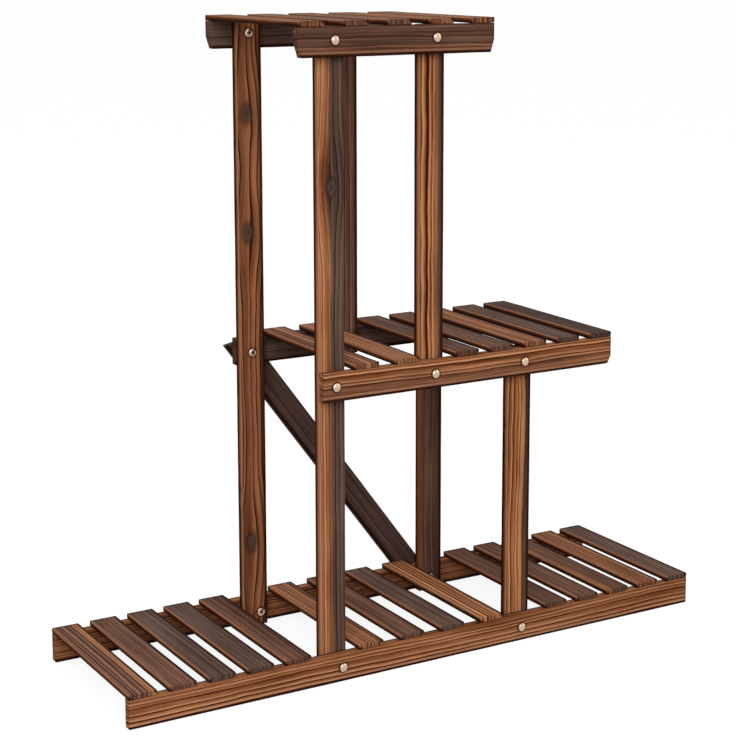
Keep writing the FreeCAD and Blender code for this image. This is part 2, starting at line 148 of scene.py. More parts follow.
class NodeSheet:
    """A node tree, with short ways to add the nodes that finishes and the studio use."""

    def __init__(self, owner: bpy.types.Material | bpy.types.World) -> None:
        """Start an empty node tree.

        Args:
            owner: The material or world that the tree belongs to.
        """
        owner.use_nodes = True
        self.owner = owner
        self.tree = owner.node_tree
        self.tree.nodes.clear()

    def add(self, kind: str, inputs: dict | None = None, **settings: object) -> bpy.types.Node:
        """Add a node.

        Args:
            kind: The node's type.
            inputs: What its inputs take, by name or number: a plain value, or an output to link.
            settings: Its properties, by name.

        Returns:
            The new node.
        """
        node = self.tree.nodes.new(f"ShaderNode{kind}")
        for key, value in settings.items():
            setattr(node, key, value)
        for key, value in (inputs or {}).items():
            if isinstance(value, Socket):
                self.tree.links.new(value, node.inputs[key])
            else:
                node.inputs[key].default_value = value
        return node

    def math(self, operation: str, *values: Value) -> Socket:
        """Return the result of a math operation on one to three values."""
        return self.add("Math", dict(enumerate(values)), operation=operation).outputs[0]

    def times(self, first: Value, *others: Value) -> Socket:
        """Return the product of some values."""
        for other in others:
            first = self.math("MULTIPLY", first, other)
        return first

    def hypotenuse(self, one: Value, other: Value) -> Socket:
        """Return the length of the diagonal over two lengths at a right angle."""
        return self.math("SQRT", self.math("MULTIPLY_ADD", one, one, self.times(other, other)))

    def swing(self, base: Value, part: Socket, share: Value, mean: float = 0.5) -> Socket:
        """Return a value that is moved by a share of a part's swing about its mean."""
        return self.math("MULTIPLY_ADD", self.math("SUBTRACT", part, mean), share, base)

    def ease(self, value: Value, low: Value, high: Value, start: Value = 0.0, end: Value = 1.0) -> Socket:
        """Go smoothly from one level to another as a value passes between two limits.

        Args:
            value: The value that is watched.
            low: Where the change starts.
            high: Where the change ends.
            start: The level below the first limit.
            end: The level above the second limit.

        Returns:
            The level.
        """
        inputs = dict(enumerate((value, low, high, start, end)))
        return self.add("MapRange", inputs, interpolation_type="SMOOTHSTEP").outputs[0]

    def blend(self, share: Value, first: object, second: object) -> Socket:
        """Return a mix of two colours, with the given share of the second."""
        return self.add("Mix", {0: share, 6: first, 7: second}, data_type="RGBA").outputs[2]

    def noise(
        self, vector: Socket, scale: Vector, offset: Vector, detail: float, roughness: float = 0.5
    ) -> bpy.types.Node:
        """Add a soft noise pattern.

        Args:
            vector: The coordinates.
            scale: How many patches there are to a metre, by axis.
            offset: What sets this noise apart from other noise.
            detail: How many finer layers it has.
            roughness: How strong the finer layers are.

        Returns:
            The noise node, with a plain and a coloured output.
        """
        inputs = {"Vector": vector, "Scale": scale, "Location": offset}
        place = self.add("Mapping", inputs, vector_type="POINT").outputs[0]
        inputs = {"Vector": place, "Scale": 1.0, "Detail": detail, "Roughness": roughness}
        return self.add("TexNoise", inputs, noise_dimensions="3D")

    def parts(self, vector: Socket) -> list[Socket]:
        """Split coordinates or a colour into its three parts."""
        return self.add("SeparateXYZ", {0: vector}).outputs[:]

    def ramp(self, value: Value, stops: Stops) -> Socket:
        """Turn a value into a level or a colour.

        Args:
            value: The value, from 0 to 1.
            stops: Places with their levels or colours, in order.

        Returns:
            The level or colour at that value.
        """
        node = self.add("ValToRGB", {0: value})
        elements = node.color_ramp.elements
        while len(elements) < len(stops):
            elements.new(1.0)
        for element, (place, level) in zip(elements, stops):
            element.position = place
            element.color = linear(level) if isinstance(level, tuple) else (level, level, level, 1.0)
        return node.outputs[0]

    def skin(self, inputs: dict, height: Value, relief: tuple[float, float]) -> bpy.types.Material:
        """Finish a material with a surface that has a fine relief.

        Args:
            inputs: What the surface's shader takes.
            height: The height of the relief, from 0 to 1.
            relief: How strongly it shows, and how high it stands.

        Returns:
            The material.
        """
        strength, distance = relief
        bump = self.add("Bump", {"Height": height, "Strength": strength, "Distance": distance})
        shader = self.add("BsdfPrincipled", {**inputs, "Normal": bump.outputs[0]})
        self.add("OutputMaterial", {"Surface": shader.outputs[0]})
        return self.owner


@dataclass(frozen=True)
class Stain:
    """One tone of the stain, from the deepest late wood to the palest early wood."""

    deep: Colour
    dark: Colour
    middle: Colour
    pale: Colour

    def stops(self) -> Stops:
        """Return the tone as colours over the wood's lightness."""
        return (0.0, self.deep), (0.32, self.dark), (0.62, self.middle), (1.0, self.pale)


class Tone(Enum):
    """The tones that the stain takes from board to board."""

    HONEY = Stain((58, 26, 12), (106, 58, 29), (146, 92, 60), (194, 136, 96))
    AMBER = Stain((56, 25, 12), (103, 56, 28), (147, 91, 57), (195, 135, 88))
    TAWNY = Stain((56, 30, 20), (92, 56, 38), (130, 84, 59), (172, 117, 81))
    CHESTNUT = Stain((50, 24, 15), (88, 50, 32), (122, 74, 48), (160, 102, 68))
    UMBER = Stain((44, 27, 20), (72, 48, 38), (99, 69, 56), (136, 97, 76))
    SLATE = Stain((42, 29, 25), (66, 49, 42), (89, 68, 59), (116, 91, 79))
    SMOKE = Stain((34, 24, 21), (56, 41, 36), (77, 58, 51), (104, 79, 69))


@dataclass(frozen=True)
class Knot:
    """A knot in a board: its place from the board's middle, its size, and what it does to the grain.

    The shares are of its radius, and the stretches say how much longer each thing is along the board.
    """

    along: float
    across: float
    radius: float
    bend: float = 0.85
    bend_share: float = 2.5
    bend_stretch: float = 3.2
    flame: float = 0.2
    flame_share: float = 1.5
    flame_stretch: float = 4.0
    core_stretch: float = 1.7
    ring_pace: float = 22.0


@dataclass(frozen=True)
class Grain:
    """How a board was cut from its log, which sets the lines that it shows."""

    spacing: float = 5.6 * MM
    pith_across: float = -70 * MM
    pith_through: float = -10 * MM
    sway: float = 2.4 * MM
    ripple: float = 0.8 * MM
    uneven: float = 1.6
    uneven_pace: float = 0.45
    weakest_ring: float = 0.5
    ring_range: float = 0.9
    level: float = 0.6
    lines: float = 0.6
    crest: float = 0.4
    calm: float = 0.0
    bands: float = 0.3
    streaks: float = 0.9
    clouds: float = 0.5
    fibres: float = 0.5
    seed: int = 0

    def offset(self) -> Vector:
        """Return the shift that gives this board noise of its own."""
        return Vector([self.seed * step + start for step, start in zip(SEED_STEP, SEED_START)])


class BoardSheet(NodeSheet):
    """A material's node tree with coordinates in one board's own frame, and the colour so far."""

    colour: Socket

    def __init__(self, name: str, place: Matrix, size: Vector, grain: Grain) -> None:
        """Start the tree from the board's place.

        Args:
            name: The board's name.
            place: Its frame: length, width and thickness axes, and its middle.
            size: Its length, width and thickness.
            grain: How it was cut.
        """
        super().__init__(bpy.data.materials.new(f"fir_{name}"))
        inputs = {
            "Vector": self.add("TexCoord").outputs["Object"],
            "Location": place.to_translation(),
            "Rotation": place.to_euler(),
        }
        self.local = self.add("Mapping", inputs, vector_type="TEXTURE").outputs[0]
        self.along, self.across, self.through = self.parts(self.local)
        self.size = size
        self.grain = grain

    def paint(self, share: Value, colour: Colour | Socket) -> None:
        """Cover a share of the colour so far with another."""
        layer = linear(colour) if isinstance(colour, tuple) else colour
        self.colour = self.blend(share, self.colour, layer)

    def own_noise(self, vector: Socket, scale: Vector, detail: float) -> Socket:
        """Return noise of this board's own, at so many patches per metre."""
        return self.noise(vector, scale, self.grain.offset(), detail, 0.6).outputs[0]

    def inward(self, place: Socket, width: float) -> Socket:
        """Return how far a place lies inside a width about the board's middle."""
        return self.math("SUBTRACT", width / 2, self.math("ABSOLUTE", place))

    def nearness(self, knot: Knot, across: Socket, share: float, stretch: float) -> Socket:
        """Say how near a point lies to a knot.

        Args:
            knot: The knot.
            across: The place across the board.
            share: The share of the knot's radius over which nearness fades.
            stretch: How much longer that is along the board.

        Returns:
            1 at the knot's middle, fading to 0.
        """
        reach = share * knot.radius
        length = self.math("DIVIDE", self.math("SUBTRACT", self.along, knot.along), reach * stretch)
        width = self.math("DIVIDE", self.math("SUBTRACT", across, knot.across), reach)
        squares = self.math("MULTIPLY_ADD", length, length, self.times(width, width))
        return self.math("EXPONENT", self.times(squares, -1.0))

    def bent_grain(self, knots: tuple[Knot, ...]) -> tuple[Socket, Socket]:
        """Give the grain the tree's own waviness, and lead it round the knots.

        Args:
            knots: The board's knots.

        Returns:
            Where each point lay across and through a straight-grown board.
        """
        across, through = self.across, self.through
        waves = ((SLOW_WAVES, 1.0, self.grain.sway), (QUICK_WAVES, 2.0, self.grain.ripple))
        for scale, detail, reach in waves:
            wave = self.noise(self.local, scale, self.grain.offset(), detail)
            sideways, inwards, _ = self.parts(wave.outputs["Color"])
            across = self.swing(across, sideways, 4 * reach)
            through = self.swing(through, inwards, 4 * reach)
        for knot in knots:
            near = self.nearness(knot, across, knot.bend_share, knot.bend_stretch)
            pull = self.times(self.math("SUBTRACT", across, knot.across), near, knot.bend)
            across = self.math("SUBTRACT", across, pull)
        return across, through

    def per_ring(self, phase: Socket, seed: float) -> Socket:
        """Give each ring a chance value of its own.

        Args:
            phase: The count of rings from the log's middle.
            seed: What sets one run of values apart from another.

        Returns:
            A value from 0 to 1, the same all through a ring.
        """
        ring = self.math("ADD", self.math("FLOOR", phase), seed)
        return self.add("TexWhiteNoise", {"W": ring}, noise_dimensions="1D").outputs["Value"]

    def ring_phase(self, across: Socket, through: Socket) -> Socket:
        """Count the rings from the log's middle, each of a width of its own.

        Args:
            across: The straight-grown place across the board.
            through: The straight-grown place through the board.

        Returns:
            The count, whose fraction is the place within a ring.
        """
        grain = self.grain
        side = self.math("SUBTRACT", across, grain.pith_across)
        depth = self.math("SUBTRACT", through, grain.pith_through)
        count = self.math("DIVIDE", self.hypotenuse(side, depth), grain.spacing)
        where = self.math("MULTIPLY_ADD", count, grain.uneven_pace, grain.seed * WIDTH_RUN)
        pace = self.add("TexNoise", {"W": where, "Scale": 1.0, "Detail": 1.0}, noise_dimensions="1D")
        return self.swing(count, pace.outputs[0], grain.uneven)

    def lightness(self, across: Socket, through: Socket, knots: tuple[Knot, ...]) -> tuple[Socket, Socket]:
        """Find how light the wood is: rings of their own width and depth, streaks, clouds and fibres.

        Args:
            across: The straight-grown place across the board.
            through: The straight-grown place through the board.
            knots: The board's knots.

        Returns:
            The lightness from 0 to 1, and the fine fibres alone.
        """
        grain = self.grain
        phase = self.ring_phase(across, through)
        chance = self.per_ring(phase, STRENGTH_RUN)
        strength = self.math("MULTIPLY_ADD", chance, grain.ring_range, grain.weakest_ring)
        if grain.calm:
            side = self.times(self.across, math.copysign(1.0, grain.calm))
            low, high = (share * self.size.y for share in CALM_LIMITS)
            strength = self.times(strength, self.ease(side, low, high, 1.0, 1.0 - abs(grain.calm)))
        value = grain.level
        profiles = ((LATE_WOOD, LATE_MEAN, -grain.lines), (EARLY_WOOD, EARLY_MEAN, grain.crest))
        for profile, mean, share in profiles:
            level = self.ramp(self.math("FRACT", phase), profile)
            value = self.swing(value, level, self.times(strength, share), mean)
        value = self.swing(value, self.per_ring(phase, BAND_RUN), grain.bands)
        bent = self.add("CombineXYZ", dict(enumerate((self.along, across, through)))).outputs[0]
        fibre = self.own_noise(bent, FIBRES, 3.0)
        value = self.swing(value, self.own_noise(bent, STREAKS, 3.0), grain.streaks)
        value = self.swing(value, self.own_noise(self.local, CLOUDS, 2.0), grain.clouds)
        value = self.swing(value, fibre, grain.fibres)
        for knot in knots:
            flame = self.nearness(knot, self.across, knot.flame_share, knot.flame_stretch)
            value = self.math("MULTIPLY_ADD", flame, -knot.flame, value)
        return self.math("MINIMUM", self.math("MAXIMUM", value, 0.0), 1.0), fibre


@dataclass(frozen=True)
class WoodFinish:
    """Stained fir: growth rings cut by the board's faces, knots, dark arrises and end grain.

    Two opposite arrises are dark with gathered stain, and the others may carry a painted highlight in pale. A
    wiped line lies beside the dark ones, the board may be shaded towards its right side, and its side faces may
    be painted darker as shade.
    """

    tone: Tone
    partner: Tone | None = None
    split: float = 0.0
    split_width: float = 3 * MM
    grain: Grain = field(default_factory=Grain)
    knots: tuple[Knot, ...] = ()
    brad_spots: tuple[float, float] | None = None
    flank_shade: Tone | None = None
    flank_shade_level: float = 0.28
    flank_shade_contrast: float = 0.35
    flank_share: float = 1.0
    arris_highlight: Colour | None = None
    gathered: float = 3.2 * MM
    left_dark: float = 0.92
    right_dark: float = 0.92
    wiped: float = 0.0
    shade: float = 0.0
    end_reach: float = 3.4 * MM
    pair_width: float = 1 * MM
    relief: tuple[float, float] = (0.45, 0.25 * MM)
    gloss: float = 0.02

    def material(
        self, name: str, place: Matrix, size: Vector, bolts: list[Vector]
    ) -> bpy.types.Material:
        """Make the finish for one board.

        Args:
            name: The board's name.
            place: The board's own frame: length, width and thickness axes, and its middle.
            size: Its length, width and thickness.
            bolts: The places of the bolts through it, in its own frame.

        Returns:
            The material.
        """
        sheet = BoardSheet(name, place, size, self.grain)
        across, through = sheet.bent_grain(self.knots)
        lightness, fibre = sheet.lightness(across, through, self.knots)
        self._stain(sheet, across, lightness)
        for knot in self.knots:
            self._draw_knot(sheet, knot)
        self._treat_edges(sheet)
        self._mark_brads(sheet)
        self._shade_round_bolts(sheet, bolts)
        rough = sheet.math("MULTIPLY_ADD", lightness, ROUGH_BY_LIGHT, ROUGHNESS)
        inputs = {
            "Base Color": sheet.colour,
            "Roughness": sheet.math("MULTIPLY_ADD", fibre, ROUGH_BY_FIBRE, rough),
            "Specular IOR Level": self.gloss,
        }
        height = sheet.math("MULTIPLY_ADD", fibre, FIBRE_RELIEF, lightness)
        return sheet.skin(inputs, height, self.relief)

    def _stain(self, sheet: BoardSheet, across: Socket, lightness: Socket) -> None:
        """Stain the wood in its tone, or in two tones that meet along the grain, and paint the side faces
        darker as shade.

        Args:
            sheet: The board's node tree.
            across: The straight-grown place across the board.
            lightness: How light the wood is.
        """
        sheet.colour = sheet.ramp(lightness, self.tone.value.stops())
        if self.partner is not None:
            share = sheet.ease(across, self.split - self.split_width, self.split + self.split_width)
            sheet.paint(share, sheet.ramp(lightness, self.partner.value.stops()))
        # Painted shade: the side faces are painted darker, in a tone of their own.
        if self.flank_shade is not None:
            share = sheet.ease(sheet.inward(sheet.across, sheet.size.y), *FLANK_SHADE_FADE)
            level = sheet.math("MULTIPLY_ADD", lightness, self.flank_shade_contrast, self.flank_shade_level)
            sheet.paint(share, sheet.ramp(level, self.flank_shade.value.stops()))

    @staticmethod
    def _draw_knot(sheet: BoardSheet, knot: Knot) -> None:
        """Draw a knot's grey core with its own small rings and a dark rim.

        Args:
            sheet: The board's node tree.
            knot: The knot.
        """
        grit = sheet.own_noise(sheet.local, KNOT_GRIT, 2.0)
        near = sheet.swing(sheet.nearness(knot, sheet.across, 1.0, knot.core_stretch), grit, 0.5)
        rings = sheet.math("SINE", sheet.times(near, knot.ring_pace))
        core = sheet.blend(sheet.ease(rings, *KNOT_RINGS), linear(KNOT_COLOUR), linear(RIM_AND_SHADE_COLOUR))
        sheet.paint(sheet.ease(near, *KNOT_RIM), RIM_AND_SHADE_COLOUR)
        sheet.paint(sheet.ease(near, *KNOT_CORE), core)

    def _treat_edges(self, sheet: BoardSheet) -> None:
        """Paint a highlight on one pair of arrises in pale, and darken the other pair, where stain gathers, and
        the ends.

        Args:
            sheet: The board's node tree.
        """
        half = sheet.size / 2
        below = sheet.times(sheet.inward(sheet.through, sheet.size.z), self.flank_share)
        to_arris = sheet.math("MAXIMUM", sheet.inward(sheet.across, sheet.size.y), below)
        lean = sheet.times(sheet.through, sheet.math("SIGN", sheet.across))
        dark_pair = sheet.ease(lean, -self.pair_width, self.pair_width, 1.0, 0.0)
        # Painted highlight: the pair of arrises that catch the light are painted pale.
        if self.arris_highlight is not None:
            pale = sheet.ease(to_arris, *HIGHLIGHT_FADE)
            sheet.paint(sheet.times(pale, sheet.math("SUBTRACT", 1.0, dark_pair)), self.arris_highlight)
        if self.wiped:
            rise = sheet.ease(to_arris, *WIPED_RISE, 0.0, self.wiped)
            fall = sheet.ease(to_arris, *WIPED_FALL)
            sheet.paint(sheet.times(rise, fall, dark_pair), WIPED_COLOUR)
        worn = sheet.own_noise(sheet.local, ARRIS_GRIT, 3.0)
        reach = sheet.math("MULTIPLY_ADD", worn, WORN_REACH * self.gathered, LEAST_REACH * self.gathered)
        depth = sheet.ease(sheet.across, -self.pair_width, self.pair_width, self.left_dark, self.right_dark)
        dark = sheet.times(sheet.ease(to_arris, self.gathered, reach, depth, 0.0), dark_pair)
        to_start = sheet.math("ADD", half.x, sheet.along)
        to_end = sheet.math("SUBTRACT", half.x, sheet.along)
        for other in (
            sheet.ease(sheet.across, half.y - SHADE_START, half.y - SHADE_END, 0.0, self.shade),
            sheet.ease(to_end, END_START, self.end_reach, END_LEVEL, 0.0),
            sheet.ease(to_start, *START_FADE),
        ):
            dark = sheet.math("MAXIMUM", dark, other)
        sheet.paint(dark, ARRIS_COLOUR)

    def _mark_brads(self, sheet: BoardSheet) -> None:
        """Mark the stopped holes over the brads, on the face that they were driven from.

        Args:
            sheet: The board's node tree.
        """
        if self.brad_spots is None:
            return
        offsets = [
            sheet.math("SUBTRACT", sheet.math("ABSOLUTE", place), spot)
            for place, spot in zip((sheet.along, sheet.across), self.brad_spots)
        ]
        spot = sheet.ease(sheet.hypotenuse(*offsets), *BRAD_FADE)
        sheet.paint(sheet.times(spot, sheet.math("LESS_THAN", sheet.through, 0.0)), RIM_AND_SHADE_COLOUR)

    def _shade_round_bolts(self, sheet: BoardSheet, bolts: list[Vector]) -> None:
        """Paint a ring of shade round each bolt, where its head meets the board.

        Args:
            sheet: The board's node tree.
            bolts: The bolts' places in the board's own frame.
        """
        # Painted shade round each bolt head, where it meets the board.
        for bolt in bolts:
            along = sheet.math("SUBTRACT", sheet.along, bolt.x)
            distance = sheet.hypotenuse(along, sheet.math("SUBTRACT", sheet.across, bolt.y))
            sheet.paint(sheet.ease(distance, *BOLT_SHADE_FADE), RIM_AND_SHADE_COLOUR)


@dataclass(frozen=True)
class PostFinish(WoodFinish):
    """The finish of a lighter post: stained darker to the right, with a painted highlight on its pale arrises.
    """

    shade: float = 0.6
    arris_highlight: Colour | None = (168, 114, 84)
    flank_share: float = 0.45


@dataclass(frozen=True)
class RailFinish(WoodFinish):
    """The finish of a front rail: a fine dark arris below, with a wiped line beside it."""

    gathered: float = 2.6 * MM
    wiped: float = 0.3


@dataclass(frozen=True)
class SlatFinish(WoodFinish):
    """The finish of a slat: flanks painted darker as shade, stopped brad holes, and a painted highlight on the
    left arrises.
    """

    brad_spots: tuple[float, float] | None = (119 * MM, 9 * MM)
    flank_shade: Tone | None = Tone.CHESTNUT
    flank_shade_level: float = 0.16
    end_reach: float = 7 * MM
    arris_highlight: Colour | None = (172, 116, 84)


@dataclass(frozen=True)
class MetalFinish:
    """Bright nickel plate with the fine unevenness of barrel plating."""

    name: str
    colour: Colour
    roughness: float
    dull_share: float = 0.86
    rougher: float = 0.16
    relief: tuple[float, float] = (0.15, 0.1 * MM)

    def material(self) -> bpy.types.Material:
        """Return the finish as a material."""
        sheet = NodeSheet(bpy.data.materials.new(self.name))
        coordinates = sheet.add("TexCoord").outputs["Object"]
        cloud = sheet.noise(coordinates, PLATE_CLOUDS, Vector(), 3.0).outputs[0]
        dull = tuple(round(part * self.dull_share) for part in self.colour)
        inputs = {
            "Base Color": sheet.blend(cloud, linear(self.colour), linear(dull)),
            "Metallic": 1.0,
            "Roughness": sheet.math("MULTIPLY_ADD", cloud, self.rougher, self.roughness),
        }
        return sheet.skin(inputs, cloud, self.relief)


def link_mesh(mesh: bmesh.types.BMesh, name: str) -> bpy.types.Object:
    """Turn a finished bmesh into an object of the scene.

    Args:
        mesh: The bmesh, which is freed.
        name: The object's name.

    Returns:
        The object.
    """
    data = bpy.data.meshes.new(name)
    mesh.to_mesh(data)
    mesh.free()
    made = bpy.data.objects.new(name, data)
    bpy.context.scene.collection.objects.link(made)
    return made


def new_piece(mesh: bmesh.types.BMesh, name: str, node: str) -> bpy.types.Object:
    """Turn a finished bmesh into a piece of the stand that stands for a node of the frame.

    Args:
        mesh: The bmesh, which is freed.
        name: The piece's name.
        node: The node.

    Returns:
        The piece.
    """
    piece = link_mesh(mesh, name)
    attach(piece, BODY)
    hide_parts(node)
    return piece


def middle_of(node: str) -> Vector:
    """Return the middle of a node's box."""
    low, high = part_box(node)
    return (low + high) / 2


def everything(mesh: bmesh.types.BMesh) -> list:
    """Return all the vertices, edges and faces of a bmesh."""
    return mesh.verts[:] + mesh.edges[:] + mesh.faces[:]


class Lie(Enum):
    """How a board lies: the directions of its length, width and thickness in the stand."""

    RAIL = (Vector((1, 0, 0)), Vector((0, 0, 1)), Vector((0, -1, 0)))
    POST = (Vector((0, 0, 1)), Vector((1, 0, 0)), Vector((0, 1, 0)))
    SLAT = (Vector((0, 1, 0)), Vector((1, 0, 0)), Vector((0, 0, -1)))


class End(Enum):
    """The ends of a rail, as signs along its length."""

    LEFT = -1
    RIGHT = 1


@dataclass
class Board:
    """One planed board with uneven, eased arrises, which stands for a node of the frame."""

    node: str
    slot: str
    lie: Lie
    finish: WoodFinish
    tapers: tuple[End, ...] = ()
    taper_height: float = 0.0
    taper_width: float = 5.0 * MM
    arris: float = 1.1 * MM
    arris_segments: int = 3
    wear: float = 0.35 * MM
    wear_pace: float = 45.0
    station: float = 24 * MM

    def place(self) -> tuple[Matrix, Vector]:
        """Find the board's own frame and its size from the node that it stands for.

        Returns:
            The frame's matrix, and the length, width and thickness.
        """
        low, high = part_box(self.node)
        axes = self.lie.value
        matrix = Matrix(axes).transposed().to_4x4()
        matrix.translation = (low + high) / 2
        size = Vector([abs(axis.dot(high - low)) for axis in axes])
        return matrix, size

    def shape(self, mesh: bmesh.types.BMesh, size: Vector) -> None:
        """Give the sawn block its ends.

        Args:
            mesh: The block.
            size: Its length, width and thickness.
        """
        for end in self.tapers:
            corner = Vector((end.value * size.x / 2, -size.y / 2 + self.taper_height, 0))
            outward = Vector((end.value * self.taper_height, -self.taper_width, 0))
            cut = bmesh.ops.bisect_plane(
                mesh, geom=everything(mesh), plane_co=corner, plane_no=outward, clear_outer=True
            )
            rim = [item for item in cut["geom_cut"] if isinstance(item, bmesh.types.BMEdge)]
            bmesh.ops.holes_fill(mesh, edges=rim)

    def build(self) -> bpy.types.Object:
        """Saw, ease and wear the board, and put it in its place.

        Returns:
            The board's object.
        """
        matrix, size = self.place()
        mesh = bmesh.new()
        bmesh.ops.create_cube(mesh, size=1.0)
        bmesh.ops.scale(mesh, vec=size, verts=mesh.verts)
        self.shape(mesh, size)
        self._cut_stations(mesh, size)
        sharp = [edge for edge in mesh.edges if edge.calc_face_angle(0.0) > SHARP_ANGLE]
        eased = bmesh.ops.bevel(
            mesh, geom=sharp, offset=self.arris, segments=self.arris_segments, profile=0.5,
            affect="EDGES", material=-1,
        )
        for face in eased["faces"]:
            face.smooth = True
        self._wear_arrises({vert for face in eased["faces"] for vert in face.verts})
        bmesh.ops.transform(mesh, matrix=matrix, verts=mesh.verts)
        return new_piece(mesh, f"{self.node}.board", self.node)

    def dress(self, piece: bpy.types.Object) -> None:
        """Give the board its stained finish.

        Args:
            piece: The board's object.
        """
        matrix, size = self.place()
        bolts = [] if self.slot == "slats" else self._bolts(matrix, size)
        piece.data.materials.append(self.finish.material(self.node, matrix, size, bolts))

    @staticmethod
    def _bolts(matrix: Matrix, size: Vector) -> list[Vector]:
        """Find the bolts that go through the board.

        Args:
            matrix: The board's own frame.
            size: Its length, width and thickness.

        Returns:
            Their places in the board's own frame.
        """
        places = [matrix.inverted() @ spot.point("front") for spot in SPOTS]
        return [p for p in places if abs(p.x) < size.x / 2 and abs(p.y) < size.y / 2]

    def _cut_stations(self, mesh: bmesh.types.BMesh, size: Vector) -> None:
        """Cut the block across at even stations, so that its arrises can wander.

        Args:
            mesh: The block.
            size: Its length, width and thickness.
        """
        count = round(size.x / self.station)
        for step in range(1, count):
            where = Vector(((step / count - 0.5) * size.x, 0, 0))
            bmesh.ops.bisect_plane(mesh, geom=everything(mesh), plane_co=where, plane_no=Vector((1, 0, 0)))

    def _wear_arrises(self, verts: set[bmesh.types.BMVert]) -> None:
        """Rub the arrises down unevenly, never outwards.

        Args:
            verts: The vertices of the eased arrises.
        """
        seed = self.finish.grain.offset() * 10
        for vert in verts:
            vert.normal_update()
        for vert in verts:
            rub = 0.5 + 0.5 * noise.noise(vert.co * self.wear_pace + seed)
            vert.co -= vert.normal * (self.wear * rub)


@dataclass
class Brace(Board):
    """The sloping board behind the back rails, from the left post down to the lower post's foot."""

    width: float = 35 * MM
    bolt_height: float = 18 * MM
    foot_inset: float = 9.4 * MM
    end_margin: float = 13 * MM
    end_skew: float = 16.5 * MM

    def place(self) -> tuple[Matrix, Vector]:
        """Find the brace's sloping frame from the posts and rails that it joins.

        Returns:
            The frame's matrix, and the length, width and thickness.
        """
        low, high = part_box(self.node)
        upper = Vector((middle_of("left_back_post").x, 0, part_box("middle_back_rail")[0].z + self.bolt_height))
        foot_x = middle_of("lower_back_post").x - self.foot_inset
        foot = Vector((foot_x, 0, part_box("bottom_back_rail")[0].z + self.bolt_height))
        along = (foot - upper).normalized()
        through = Vector((0, -1, 0))
        matrix = Matrix((along, through.cross(along), through)).transposed().to_4x4()
        matrix.translation = (upper + foot) / 2 + Vector((0, (low.y + high.y) / 2, 0))
        return matrix, Vector(((foot - upper).length + 2 * self.end_margin, self.width, high.y - low.y))

    def shape(self, mesh: bmesh.types.BMesh, size: Vector) -> None:
        """Lean the brace's sawn ends over.

        Args:
            mesh: The block.
            size: Its length, width and thickness.
        """
        for vert in mesh.verts:
            vert.co.x += self.end_skew * vert.co.y / size.y


@dataclass(frozen=True)
class BoltSpot:
    """A bolted crossing of a rail and a post."""

    shelf: str
    post: str
    height: float = 18 * MM
    shift: float = 0.0
    braced: bool = False

    def point(self, side: str) -> Vector:
        """Return the crossing, at the front or the back, set on the stand's middle plane."""
        rail_low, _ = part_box(f"{self.shelf}_{side}_rail")
        return Vector((middle_of(f"{self.post}_{side}_post").x + self.shift, 0, rail_low.z + self.height))


SPOTS = (
    BoltSpot("bottom", "left", shift=7.7 * MM),
    BoltSpot("bottom", "lower", braced=True),
    BoltSpot("middle", "left", braced=True),
    BoltSpot("middle", "upper"),
    BoltSpot("middle", "lower"),
    BoltSpot("top", "left", height=20 * MM),
    BoltSpot("top", "upper", height=20 * MM),
)


class Facing(Enum):
    """The way a fastener's head faces, as the turn about X that brings it there."""

    FRONT = math.pi / 2
    BACK = -math.pi / 2


@dataclass
class DomedFastener:
    """A fastener turned about its own axis: a domed head over a plain shank.

    The shares but the bright one are of the rim's height. The bright share is of the head's radius.
    """

    head_radius: float
    head_height: float
    rim: float
    shank_radius: float
    shank_length: float
    steps: int = 40
    arc_steps: int = 9
    bright_share: float = 0.88
    shoulder_share: float = 0.7
    bevel_share: float = 0.25
    dome_inset_share: float = 0.3
    flat_share: float = 0.3

    def turned(self) -> bmesh.types.BMesh:
        """Spin the fastener's half outline, with its seat on Z 0 and its head above.

        Returns:
            The turned shape.
        """
        edge, ball = self._dome()
        sweep = math.asin(edge / ball)
        turns = [sweep * step / self.arc_steps for step in range(self.arc_steps + 1)]
        outline = [(ball * math.sin(a), self.head_height - ball + ball * math.cos(a)) for a in turns]
        bevel = self.bevel_share * self.rim
        outline += [
            (self.head_radius, self.shoulder_share * self.rim),
            (self.head_radius, bevel),
            (self.head_radius - bevel, 0),
            (self.shank_radius, 0),
            (self.shank_radius, -self.shank_length),
            (0, -self.shank_length),
        ]
        mesh = bmesh.new()
        verts = [mesh.verts.new((radius, 0, height)) for radius, height in outline]
        edges = [mesh.edges.new(pair) for pair in zip(verts, verts[1:])]
        bmesh.ops.spin(
            mesh, geom=verts + edges, axis=(0, 0, 1), cent=(0, 0, 0), angle=math.tau, steps=self.steps,
            use_merge=True,
        )
        bmesh.ops.remove_doubles(mesh, verts=mesh.verts, dist=MERGE_DISTANCE)
        bmesh.ops.recalc_face_normals(mesh, faces=mesh.faces)
        for face in mesh.faces:
            middle = face.calc_center_median()
            face.smooth = middle.z > self.flat_share * self.rim
            # Faces beyond the bright share take the second material, painted shade at the rim.
            face.material_index = int(middle.xy.length > self.bright_share * self.head_radius)
        return mesh

    def _dome(self) -> tuple[float, float]:
        """Work out the dome.

        Returns:
            The radius of its edge, and of the ball that it is a cap of.
        """
        rise = self.head_height - self.rim
        edge = self.head_radius - self.dome_inset_share * self.rim
        return edge, (edge * edge + rise * rise) / (2 * rise)


